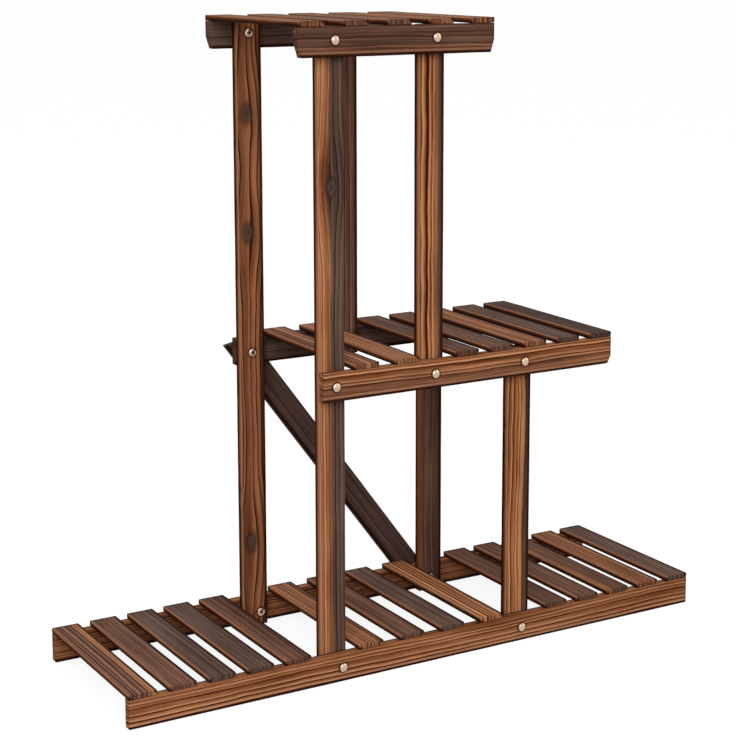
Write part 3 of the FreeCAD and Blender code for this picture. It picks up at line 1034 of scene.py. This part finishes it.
@dataclass
class CrossScrew(DomedFastener):
    """A domed screw with a tapered cross recess in its head."""

    recess_span: float = 8.2 * MM
    recess_width: float = 2.1 * MM
    recess_depth: float = 1.9 * MM
    recess_rise: float = 0.4 * MM
    recess_taper: float = 0.55
    sunk_depth: float = 0.06 * MM

    def turned(self) -> bmesh.types.BMesh:
        """Spin the screw, then sink the cross into its head.

        Returns:
            The finished shape.
        """
        screw = link_mesh(super().turned(), "screw_blank")
        cutter = link_mesh(self._cross(), "cross_cutter")
        sink = screw.modifiers.new("recess", "BOOLEAN")
        sink.object = cutter
        sink.operation = "DIFFERENCE"
        sink.solver = "EXACT"
        cut = screw.evaluated_get(bpy.context.evaluated_depsgraph_get())
        mesh = bmesh.new()
        mesh.from_mesh(cut.to_mesh())
        for loose in (screw, cutter):
            data = loose.data
            bpy.data.objects.remove(loose)
            bpy.data.meshes.remove(data)
        _, ball = self._dome()
        for face in mesh.faces:
            middle = face.calc_center_median()
            radius = middle.xy.length
            surface = self.head_height - ball + math.sqrt(ball * ball - radius * radius)
            sunk = 0 < middle.z < surface - self.sunk_depth
            # Recess faces and rim faces take the second material, painted shade.
            face.material_index = int(sunk or radius > self.bright_share * self.head_radius)
            face.smooth = not sunk and middle.z > self.flat_share * self.rim
        return mesh

    def _cross(self) -> bmesh.types.BMesh:
        """Make the cross that is sunk into the head: four arms on a square, narrowing downwards.

        Returns:
            The closed cross.
        """
        mesh = bmesh.new()
        half = self.recess_width / 2
        bmesh.ops.create_grid(mesh, x_segments=1, y_segments=1, size=half)
        for edge in mesh.edges[:]:
            outward = (edge.verts[0].co + edge.verts[1].co).normalized()
            arm = bmesh.ops.extrude_edge_only(mesh, edges=[edge])["geom"]
            tip = [item for item in arm if isinstance(item, bmesh.types.BMVert)]
            bmesh.ops.translate(mesh, vec=outward * (self.recess_span / 2 - half), verts=tip)
        deep = bmesh.ops.extrude_face_region(mesh, geom=mesh.faces[:])["geom"]
        floor = [item for item in deep if isinstance(item, bmesh.types.BMVert)]
        bmesh.ops.translate(mesh, vec=Vector((0, 0, -self.recess_depth - self.recess_rise)), verts=floor)
        bmesh.ops.scale(mesh, vec=Vector((self.recess_taper, self.recess_taper, 1)), verts=floor)
        bmesh.ops.translate(mesh, vec=Vector((0, 0, self.head_height + self.recess_rise)), verts=mesh.verts)
        bmesh.ops.recalc_face_normals(mesh, faces=mesh.faces)
        return mesh


@dataclass
class FastenerGroup:
    """Copies of one fastener that stand for one node of the frame."""

    node: str
    slot: str
    pattern: DomedFastener
    points: list[Vector]
    facing: Facing
    finish: MetalFinish
    spin: float = 0.0
    spin_step: float = 0.35
    # The second material paints shade on the heads' rims and in the screws' recesses.
    rim_and_recess_shade: MetalFinish = MetalFinish("painted_shade_nickel", (96, 66, 48), 0.5)

    def build(self) -> bpy.types.Object:
        """Put a copy of the fastener at each point.

        Returns:
            The group's object.
        """
        one = bpy.data.meshes.new(f"{self.node}.one")
        pattern = self.pattern.turned()
        pattern.to_mesh(one)
        pattern.free()
        group = bmesh.new()
        turn = Matrix.Rotation(self.facing.value, 4, "X")
        for number, point in enumerate(self.points):
            start = len(group.verts)
            group.from_mesh(one)
            group.verts.ensure_lookup_table()
            own_turn = Matrix.Rotation(self.spin * (1 + self.spin_step * number), 4, "Z")
            bmesh.ops.transform(
                group, matrix=Matrix.Translation(point) @ turn @ own_turn, verts=group.verts[start:]
            )
        bpy.data.meshes.remove(one)
        return new_piece(group, f"{self.node}.set", self.node)

    def dress(self, piece: bpy.types.Object) -> None:
        """Plate the fasteners, and paint shade on their rims and in their recesses.

        Args:
            piece: The group's object.
        """
        for finish in (self.finish, self.rim_and_recess_shade):
            piece.data.materials.append(finish.material())


@dataclass
class BoltSet:
    """All the bolted joints: domed sleeve nuts outside and cross-recess screws inside."""

    nickel: MetalFinish = MetalFinish("nickel_nuts", (214, 185, 158), 0.22)
    screw_nickel: MetalFinish = MetalFinish("nickel_screws", (210, 180, 155), 0.24)
    head_radius: float = 6 * MM
    rim: float = 0.8 * MM
    dome_height: float = 3.2 * MM
    sleeve_radius: float = 4 * MM
    sleeve_length: float = 16 * MM
    screw_height: float = 2.8 * MM
    screw_radius: float = 3 * MM
    screw_spin: float = math.pi / 4
    end_gap: float = 4 * MM

    def groups(self) -> list[FastenerGroup]:
        """Work out each group of fasteners from the boards that it joins.

        Returns:
            The groups.
        """
        front_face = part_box("bottom_front_rail")[0].y
        back_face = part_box("bottom_back_rail")[1].y
        brace_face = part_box("back_brace")[1].y
        front_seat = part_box("left_front_post")[1].y
        back_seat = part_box("left_back_post")[0].y
        nut = DomedFastener(
            self.head_radius, self.dome_height, self.rim, self.sleeve_radius, self.sleeve_length
        )
        short = self._screw(front_seat - front_face)
        long = self._screw(brace_face - back_seat)
        plain = [spot for spot in SPOTS if not spot.braced]
        braced = [spot for spot in SPOTS if spot.braced]
        return [
            self._group("front_dome_nuts", nut, SPOTS, front_face, Facing.FRONT),
            self._group("back_dome_nuts", nut, plain, back_face, Facing.BACK),
            self._group("brace_dome_nuts", nut, braced, brace_face, Facing.BACK),
            self._group("front_screws", short, SPOTS, front_seat, Facing.BACK),
            self._group("back_screws", short, plain, back_seat, Facing.FRONT),
            self._group("brace_screws", long, braced, back_seat, Facing.FRONT),
        ]

    def _screw(self, grip: float) -> CrossScrew:
        """Return a screw for boards of the given thickness in all."""
        length = grip - self.end_gap
        return CrossScrew(self.head_radius, self.screw_height, self.rim, self.screw_radius, length)

    def _group(
        self, node: str, pattern: DomedFastener, spots: object, face: float, facing: Facing
    ) -> FastenerGroup:
        """Set one group of fasteners on a face.

        Args:
            node: The node that it stands for.
            pattern: The fastener.
            spots: The crossings that it joins.
            face: The face's place in depth.
            facing: The way that the heads face.

        Returns:
            The group.
        """
        side = "front" if node.startswith("front") else "back"
        points = [spot.point(side) + Vector((0, face, 0)) for spot in spots]
        if isinstance(pattern, CrossScrew):
            return FastenerGroup(
                node, "screws", pattern, points, facing, self.screw_nickel, self.screw_spin
            )
        return FastenerGroup(node, "nuts", pattern, points, facing, self.nickel)


@dataclass
class BradSet:
    """The brads of one shelf, punched just under the slats' tops."""

    shelf: str
    slats: int
    spread: float = 18 * MM
    length: float = 16 * MM
    sink: float = 0.4 * MM
    head_radius: float = 1.2 * MM
    shank_radius: float = 0.7 * MM
    point_share: float = 0.3
    sides: int = 8
    finish: MetalFinish = MetalFinish("stained_brads", (92, 72, 58), 0.45)

    def build(self) -> bpy.types.Object:
        """Put four brads in each slat.

        Returns:
            The brads' object.
        """
        group = bmesh.new()
        rails = [middle_of(f"{self.shelf}_{side}_rail").y for side in ("front", "back")]
        for number in range(1, self.slats + 1):
            slat = f"{self.shelf}_slat_{number:02d}"
            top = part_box(slat)[1].z - self.sink
            for depth in rails:
                for lean in (-0.5, 0.5):
                    self._brad(group, Vector((middle_of(slat).x + lean * self.spread, depth, top)))
        return new_piece(group, f"{self.shelf}_brads.set", f"{self.shelf}_brads")

    def dress(self, piece: bpy.types.Object) -> None:
        """Stain the brads with the slats."""
        piece.data.materials.append(self.finish.material())

    def _brad(self, group: bmesh.types.BMesh, head: Vector) -> None:
        """Add one brad below its head's middle.

        Args:
            group: The mesh that takes it.
            head: The middle of the head's top.
        """
        shank = self.length - 2 * self.sink
        made = bmesh.ops.create_cone(
            group, cap_ends=True, segments=self.sides, radius1=self.point_share * self.shank_radius,
            radius2=self.shank_radius, depth=shank,
        )
        bmesh.ops.translate(group, vec=head - Vector((0, 0, shank / 2)), verts=made["verts"])
        top = max(vert.co.z for vert in made["verts"])
        crown = [vert for vert in made["verts"] if vert.co.z > top - MERGE_DISTANCE]
        spread = self.head_radius / self.shank_radius
        about = Matrix.Translation(-head)
        bmesh.ops.scale(group, vec=Vector((spread, spread, 1)), verts=crown, space=about)


@dataclass(frozen=True)
class SlatLook:
    """How one slat took the stain: its tone, how light it is and how plainly its lines show."""

    tone: Tone
    level: float
    lines: float
    partner: Tone | None = None
    split: float = 0.0

    def finish(self, seed: int) -> SlatFinish:
        """Choose how the slat was cut from its log, which differs from slat to slat.

        Args:
            seed: The slat's own number among all the slats.

        Returns:
            The slat's finish.
        """
        golden_turn = 2.399
        turn = seed * golden_turn
        side = 1 if seed % 2 else -1
        grain = Grain(
            spacing=(4.8 + 1.4 * math.sin(turn)) * MM,
            pith_across=(72 + 16 * math.cos(turn)) * MM * side,
            pith_through=(4 + 4 * math.sin(1.7 * turn)) * MM,
            sway=1.6 * MM,
            level=self.level,
            lines=self.lines,
            crest=0.8 * self.lines,
            bands=0.5 * self.lines,
            streaks=0.8,
            seed=seed,
        )
        return SlatFinish(self.tone, self.partner, self.split, grain=grain)


SLAT_LOOKS = {
    "bottom": (
        SlatLook(Tone.UMBER, 0.63, 0.6, Tone.HONEY, 7 * MM),
        SlatLook(Tone.UMBER, 0.67, 0.4),
        SlatLook(Tone.SLATE, 0.63, 0.2),
        SlatLook(Tone.SLATE, 0.63, 0.2),
        SlatLook(Tone.UMBER, 0.6, 0.4),
        SlatLook(Tone.TAWNY, 0.68, 0.7),
        SlatLook(Tone.UMBER, 0.67, 0.35),
        SlatLook(Tone.SLATE, 0.74, 0.2),
        SlatLook(Tone.HONEY, 0.58, 0.85),
        SlatLook(Tone.UMBER, 0.56, 0.25),
        SlatLook(Tone.UMBER, 0.63, 0.3),
        SlatLook(Tone.TAWNY, 0.55, 0.4, Tone.UMBER, -8 * MM),
        SlatLook(Tone.TAWNY, 0.59, 0.6),
        SlatLook(Tone.SLATE, 0.64, 0.3),
    ),
    "middle": (
        SlatLook(Tone.TAWNY, 0.55, 0.5),
        SlatLook(Tone.TAWNY, 0.78, 0.5),
        SlatLook(Tone.UMBER, 0.53, 0.35),
        SlatLook(Tone.UMBER, 0.59, 0.35),
        SlatLook(Tone.TAWNY, 0.54, 0.45),
        SlatLook(Tone.SLATE, 0.58, 0.25),
        SlatLook(Tone.SLATE, 0.36, 0.3),
    ),
    "top": (
        SlatLook(Tone.TAWNY, 0.52, 0.5),
        SlatLook(Tone.UMBER, 0.6, 0.4),
        SlatLook(Tone.UMBER, 0.62, 0.4),
        SlatLook(Tone.TAWNY, 0.58, 0.5),
        SlatLook(Tone.TAWNY, 0.5, 0.5),
    ),
}


@dataclass
class Shelf:
    """A shelf: a front and a back rail, and the slats that lie across them."""

    name: str
    front: WoodFinish
    back: WoodFinish
    tapers: tuple[End, ...] = ()
    taper_height: float = 0.0
    first_seed: int = 0

    def boards(self) -> list[Board]:
        """List the shelf's boards.

        Returns:
            The two rails and then the slats, from left to right.
        """
        rails = [
            Board(f"{self.name}_{side}_rail", "rails", Lie.RAIL, finish, self.tapers, self.taper_height)
            for side, finish in (("front", self.front), ("back", self.back))
        ]
        slats = [
            Board(f"{self.name}_slat_{number:02d}", "slats", Lie.SLAT, look.finish(self.first_seed + number))
            for number, look in enumerate(SLAT_LOOKS[self.name], start=1)
        ]
        return rails + slats


def shelves() -> list[Shelf]:
    """List the three shelves, from the floor up.

    Returns:
        The shelves.
    """
    bottom_grain = Grain(
        spacing=6.2 * MM, pith_across=-95 * MM, pith_through=16 * MM, sway=2.8 * MM, level=0.53, lines=0.75,
        crest=0.52, calm=0.35, bands=0.2, seed=61,
    )
    middle_grain = Grain(
        spacing=5.4 * MM, pith_across=-80 * MM, pith_through=-14 * MM, level=0.57, lines=0.65, crest=0.6,
        calm=-0.6, seed=62,
    )
    top_grain = Grain(
        spacing=5.0 * MM, pith_across=76 * MM, pith_through=-14 * MM, sway=1.8 * MM, level=0.46, lines=0.28,
        crest=0.2, seed=63,
    )
    back_grain = Grain(spacing=6.0 * MM, pith_across=84 * MM, level=0.76, lines=0.65, crest=0.5, seed=64)
    return [
        Shelf(
            "bottom",
            RailFinish(Tone.HONEY, grain=bottom_grain),
            WoodFinish(Tone.CHESTNUT, grain=back_grain),
        ),
        Shelf(
            "middle",
            RailFinish(Tone.TAWNY, Tone.HONEY, split=3 * MM, split_width=8 * MM, grain=middle_grain),
            WoodFinish(Tone.SMOKE, grain=Grain(level=0.62, lines=0.3, crest=0.1, seed=65)),
            tapers=(End.RIGHT,),
            taper_height=10.5 * MM,
            first_seed=20,
        ),
        Shelf(
            "top",
            RailFinish(Tone.CHESTNUT, Tone.UMBER, split=-10 * MM, split_width=7 * MM, grain=top_grain),
            WoodFinish(Tone.SMOKE, grain=Grain(level=0.86, lines=0.3, crest=0.1, seed=66)),
            tapers=(End.LEFT, End.RIGHT),
            taper_height=16 * MM,
            first_seed=40,
        ),
    ]


def post_finishes() -> dict[str, WoodFinish]:
    """Choose the posts' finishes.

    Returns:
        Each post's finish, by the post's place.
    """
    left_front = Grain(
        spacing=4.4 * MM, pith_across=-84 * MM, pith_through=14 * MM, sway=1.4 * MM, level=0.67, lines=0.4,
        crest=0.3, seed=71,
    )
    left_back = Grain(
        spacing=6.4 * MM, pith_across=58 * MM, pith_through=12 * MM, sway=3.2 * MM, ripple=1.1 * MM,
        level=0.68, lines=0.9, crest=0.5, seed=72,
    )
    upper_front = Grain(
        spacing=6.4 * MM, pith_across=-46.7 * MM, pith_through=10 * MM, sway=1.8 * MM, ripple=1.2 * MM,
        level=0.6, lines=0.55, crest=0.55, calm=0.6, seed=73,
    )
    upper_back = Grain(spacing=4.4 * MM, pith_across=-60 * MM, level=0.54, lines=0.28, crest=0.15, seed=74)
    lower_front = Grain(
        spacing=6.0 * MM, pith_across=54 * MM, pith_through=10 * MM, sway=2.2 * MM, ripple=1.2 * MM,
        level=0.58, lines=0.75, crest=0.6, calm=0.5, seed=75,
    )
    lower_back = Grain(spacing=4.2 * MM, level=0.5, lines=0.2, crest=0.1, seed=76)
    # The flank tones here paint the posts' side faces darker as shade.
    heart = {"split": 7 * MM, "split_width": 4 * MM, "flank_shade": Tone.HONEY, "shade": 0.4}
    back_knots = (
        Knot(284 * MM, -5 * MM, 8.5 * MM),
        Knot(130 * MM, -4 * MM, 8.5 * MM),
        Knot(-286 * MM, -4 * MM, 8.5 * MM),
    )
    return {
        "left_front": PostFinish(
            Tone.HONEY, Tone.SLATE, split=-0.5 * MM, grain=left_front,
            knots=(Knot(212 * MM, 1 * MM, 8 * MM),), flank_shade=Tone.HONEY, shade=0.1, right_dark=0.25,
        ),
        "left_back": PostFinish(Tone.CHESTNUT, grain=left_back, knots=back_knots, flank_shade=Tone.CHESTNUT),
        "upper_front": PostFinish(Tone.AMBER, Tone.UMBER, grain=upper_front, **heart),
        "upper_back": WoodFinish(Tone.UMBER, grain=upper_back),
        "lower_front": PostFinish(Tone.AMBER, Tone.UMBER, grain=lower_front, **heart),
        "lower_back": WoodFinish(Tone.CHESTNUT, Tone.UMBER, split=-13 * MM, grain=lower_back),
    }


def uprights() -> list[Board]:
    """List the posts and the brace.

    Returns:
        The boards.
    """
    posts = [Board(f"{name}_post", "posts", Lie.POST, finish) for name, finish in post_finishes().items()]
    grain = Grain(spacing=4.4 * MM, pith_across=60 * MM, level=0.6, lines=0.3, crest=0.15, seed=77)
    return posts + [Brace("back_brace", "brace", Lie.RAIL, WoodFinish(Tone.SMOKE, grain=grain))]


@dataclass(frozen=True)
class Lamp:
    """A square soft lamp: its name, where it hangs and its power in watts."""

    name: str
    place: Vector
    power: float
    size: float = 2.4
    target: Vector = field(default_factory=lambda: Vector((0, 0, 0.4)))

    def hang(self) -> None:
        """Hang the lamp so that it faces the stand."""
        data = bpy.data.lights.new(self.name, "AREA")
        data.size = self.size
        data.energy = self.power
        lamp = bpy.data.objects.new(self.name, data)
        lamp.location = self.place
        lamp.rotation_euler = (self.target - self.place).to_track_quat("-Z", "Y").to_euler()
        bpy.context.scene.collection.objects.link(lamp)


LAMPS = (
    Lamp("key", Vector((-1.9, -2.6, 2.1)), 80.0),
    Lamp("fill", Vector((2.4, -1.6, 1.8)), 18.0),
    Lamp("back", Vector((1.0, 3.0, 1.9)), 20.0),
)


@dataclass
class Studio:
    """A white studio: pale floor, soft lamps and the camera, whose yaw and pitch are in degrees."""

    floor_reach: float = 30.0
    floor_drop: float = 0.3 * MM
    floor_grey: float = 0.3
    floor_seen_grey: float = 0.18
    floor_glow: float = 0.88
    dome_level: float = 0.64
    camera_place: Vector = field(default_factory=lambda: Vector((-1.18225, -2.00608, 0.89237)))
    camera_yaw: float = 30.797
    camera_pitch: float = 9.525
    lens: float = 89.605
    sensor: float = 36.0
    shift: tuple[float, float] = (-0.02862, -0.15)

    def build(self) -> None:
        """Set up the floor, the light and the camera."""
        self._floor()
        self._world()
        for lamp in LAMPS:
            lamp.hang()
        self._camera()
        bpy.context.scene.view_settings.view_transform = "Standard"

    @staticmethod
    def _seen(sheet: NodeSheet) -> Socket:
        """Return 1 for rays that show the background: the camera's, and those off or through a surface."""
        path = sheet.add("LightPath")
        direct = sheet.math("MAXIMUM", path.outputs["Is Camera Ray"], path.outputs["Is Glossy Ray"])
        return sheet.math("MAXIMUM", direct, path.outputs["Is Transmission Ray"])

    def _floor(self) -> None:
        """Lay the floor, which shows white but keeps the stand's soft shadow."""
        mesh = bmesh.new()
        bmesh.ops.create_grid(mesh, x_segments=1, y_segments=1, size=self.floor_reach)
        bmesh.ops.translate(mesh, vec=Vector((0, 0, -self.floor_drop)), verts=mesh.verts)
        floor = link_mesh(mesh, "studio_floor")
        sheet = NodeSheet(bpy.data.materials.new("studio_floor"))
        seen = self._seen(sheet)
        grey, seen_grey = ((level, level, level, 1) for level in (self.floor_grey, self.floor_seen_grey))
        matte = sheet.add("BsdfDiffuse", {"Color": sheet.blend(seen, grey, seen_grey)})
        glow = sheet.add("Emission", {"Strength": sheet.times(seen, self.floor_glow)})
        both = sheet.add("AddShader", {0: matte.outputs[0], 1: glow.outputs[0]})
        sheet.add("OutputMaterial", {"Surface": both.outputs[0]})
        floor.data.materials.append(sheet.owner)

    def _world(self) -> None:
        """Light the stand evenly from all round, in front of a white background."""
        world = bpy.data.worlds.new("studio")
        bpy.context.scene.world = world
        sheet = NodeSheet(world)
        level = sheet.ease(self._seen(sheet), 0.0, 1.0, self.dome_level, 1.0)
        white = sheet.add("Background", {"Color": (1, 1, 1, 1), "Strength": level})
        sheet.add("OutputWorld", {"Surface": white.outputs[0]})

    def _camera(self) -> None:
        """Set up the camera at the photograph's angle."""
        data = bpy.data.cameras.new("camera")
        data.lens = self.lens
        data.sensor_width = self.sensor
        data.shift_x, data.shift_y = self.shift
        camera = bpy.data.objects.new("camera", data)
        camera.location = self.camera_place
        camera.rotation_euler = (math.radians(90 - self.camera_pitch), 0, math.radians(-self.camera_yaw))
        bpy.context.scene.collection.objects.link(camera)
        bpy.context.scene.camera = camera


def main() -> None:
    """Build and dress the stand, set up the studio and note the sizes."""
    logging.basicConfig(level=logging.INFO, format="%(name)s: %(message)s")
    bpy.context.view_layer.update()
    parts: list[Board | FastenerGroup | BradSet] = []
    for shelf in shelves():
        parts += shelf.boards()
    parts += uprights()
    parts += BoltSet().groups()
    parts += [BradSet(shelf, len(looks)) for shelf, looks in SLAT_LOOKS.items()]
    for part in parts:
        piece = part.build()
        part.dress(piece)
        log.info("%s: %d faces", piece.name, len(piece.data.polygons))
    Studio().build()


if __name__ == "__main__":
    main()
